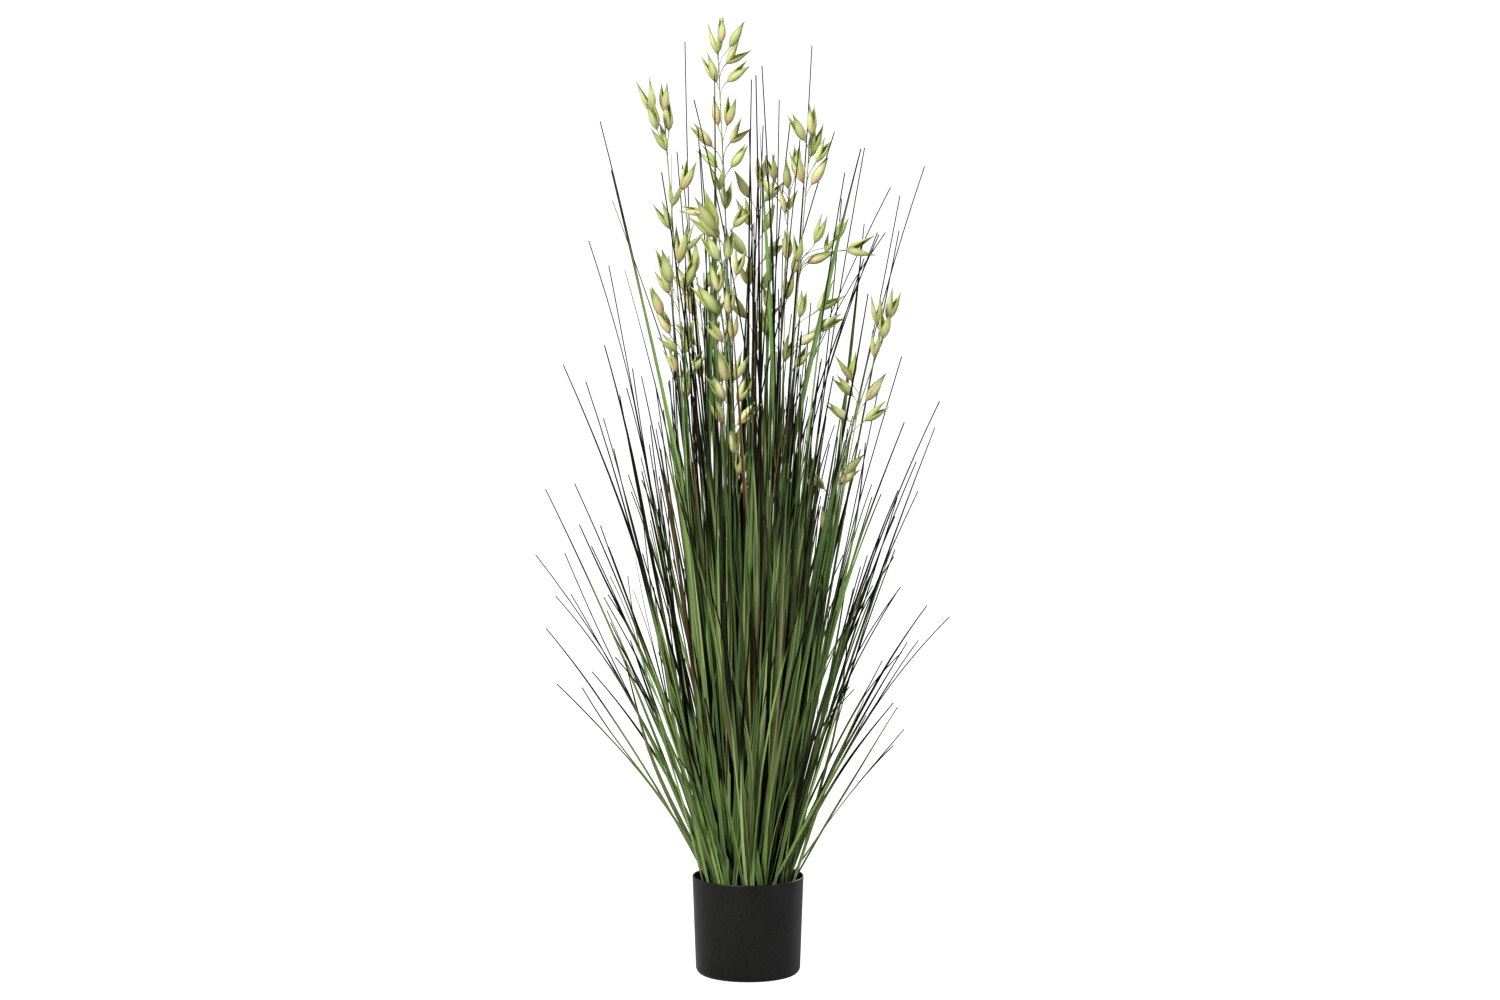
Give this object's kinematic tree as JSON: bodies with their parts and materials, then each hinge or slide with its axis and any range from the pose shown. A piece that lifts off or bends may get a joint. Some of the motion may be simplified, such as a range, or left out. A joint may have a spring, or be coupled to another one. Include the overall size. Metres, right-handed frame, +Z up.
{
  "type": "artificial potted oat grass",
  "caption": "Tall artificial grass with upright and arching blades and sprays of oat spikelets, in a small round black pot, for decorating a floor or a corner.",
  "frame": {"origin": "centre of the pot's flat underside", "axes": "+Z up along the pot's axis, -Y towards the front of the plant"},
  "size_m": [0.501, 0.467, 1.1922],
  "materials": {
    "pot_plastic": "satin black moulded plastic",
    "cement": "rough dark stained cement",
    "green_blade": "satin ribbed green plastic, dark towards the tips",
    "russet_blade": "satin reddish brown plastic",
    "oat": "matt yellow green, pink at the base of the spikelets"
  },
  "bodies": {
    "root": {"pot": "pot_plastic", "cement_filling": "cement", "grass_tuft_1": "green_blade", "grass_tuft_2": "green_blade", "grass_tuft_3": "green_blade", "grass_tuft_4": "green_blade", "grass_tuft_5": "green_blade", "grass_tuft_6": "green_blade", "grass_tuft_7": "green_blade", "grass_tuft_8": "green_blade", "grass_tuft_9": "green_blade", "grass_tuft_10": "green_blade", "grass_tuft_11": "green_blade", "grass_tuft_12": "green_blade", "grass_tuft_13": "green_blade", "grass_tuft_14": "green_blade", "grass_tuft_15": "green_blade", "grass_tuft_16": "green_blade", "grass_tuft_17": "green_blade", "grass_tuft_18": "green_blade", "grass_tuft_19": "green_blade", "russet_tuft_1": "russet_blade", "russet_tuft_2": "russet_blade", "russet_tuft_3": "russet_blade", "russet_tuft_4": "russet_blade", "russet_tuft_5": "russet_blade", "oat_spray_1": "oat", "oat_spray_2": "oat", "oat_spray_3": "oat", "oat_spray_4": "oat", "oat_spray_5": "oat", "oat_spray_6": "oat", "oat_spray_7": "oat", "oat_spray_8": "oat"}
  },
  "joints": []
}
